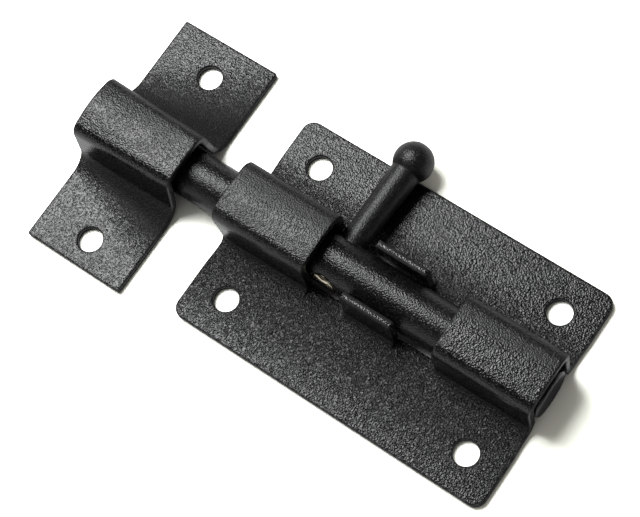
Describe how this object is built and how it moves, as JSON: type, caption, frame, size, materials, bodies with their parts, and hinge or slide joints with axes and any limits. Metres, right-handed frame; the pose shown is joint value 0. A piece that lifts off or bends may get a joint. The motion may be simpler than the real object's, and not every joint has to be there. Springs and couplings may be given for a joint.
{
  "type": "door bolt",
  "caption": "Small steel barrel bolt: a stamped base plate with tunnels, a round sliding bolt with a ball-ended handle pin, and a separate bent keeper.",
  "frame": {"origin": "middle of the base plate's screw pattern, on the mounting face", "axes": "+X along the bolt towards the keeper, +Z away from the door, and the handle lies towards -Y"},
  "size_m": [0.1054, 0.0557, 0.0145],
  "materials": {
    "powder_coat": "finely pebbled black powder coat on steel, half gloss"
  },
  "bodies": {
    "fixings": {"base_plate": "powder_coat", "keeper": "powder_coat"},
    "bolt": {"bolt_rod": "powder_coat", "handle_pin": "powder_coat"}
  },
  "joints": [
    {"name": "bolt_turn", "type": "hinge", "parent": "fixings", "child": "bolt", "pos_m": [0, -0.0008, 0.0053], "axis": [-1, 0, 0], "range_deg": [0, 177]}
  ]
}
